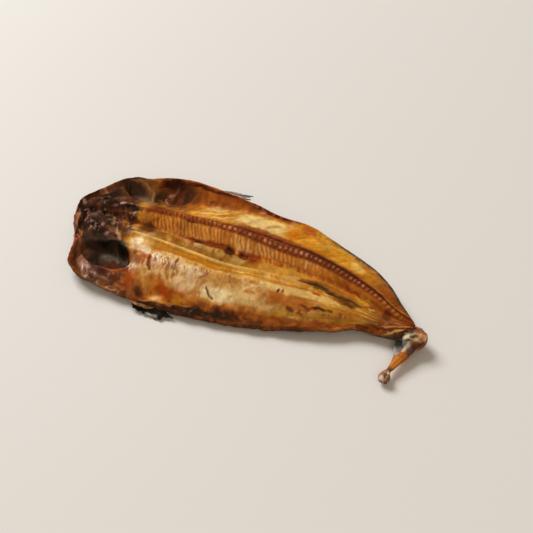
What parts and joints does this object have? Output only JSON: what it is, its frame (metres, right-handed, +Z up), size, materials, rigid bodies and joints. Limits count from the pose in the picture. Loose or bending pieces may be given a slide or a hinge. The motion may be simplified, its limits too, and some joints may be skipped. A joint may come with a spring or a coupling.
{
  "type": "grilled butterflied fish",
  "caption": "Whole fish split and opened flat, grilled flesh side up, with its charred head, backbone, fins and a tail bent to one side.",
  "frame": {"origin": "middle of the bounding box, at the height of the underside that the fish lies on", "axes": "+X from snout to tail, +Y from the near belly edge to the far belly edge, +Z up from the flat underside to the flesh side"},
  "size_m": [0.3024, 0.1414, 0.0309],
  "materials": {
    "grilled_flesh": "oily, semi-gloss, browned to charred at the head and the edges"
  },
  "bodies": {
    "root": {"grilled_fish": "grilled_flesh"}
  },
  "joints": []
}
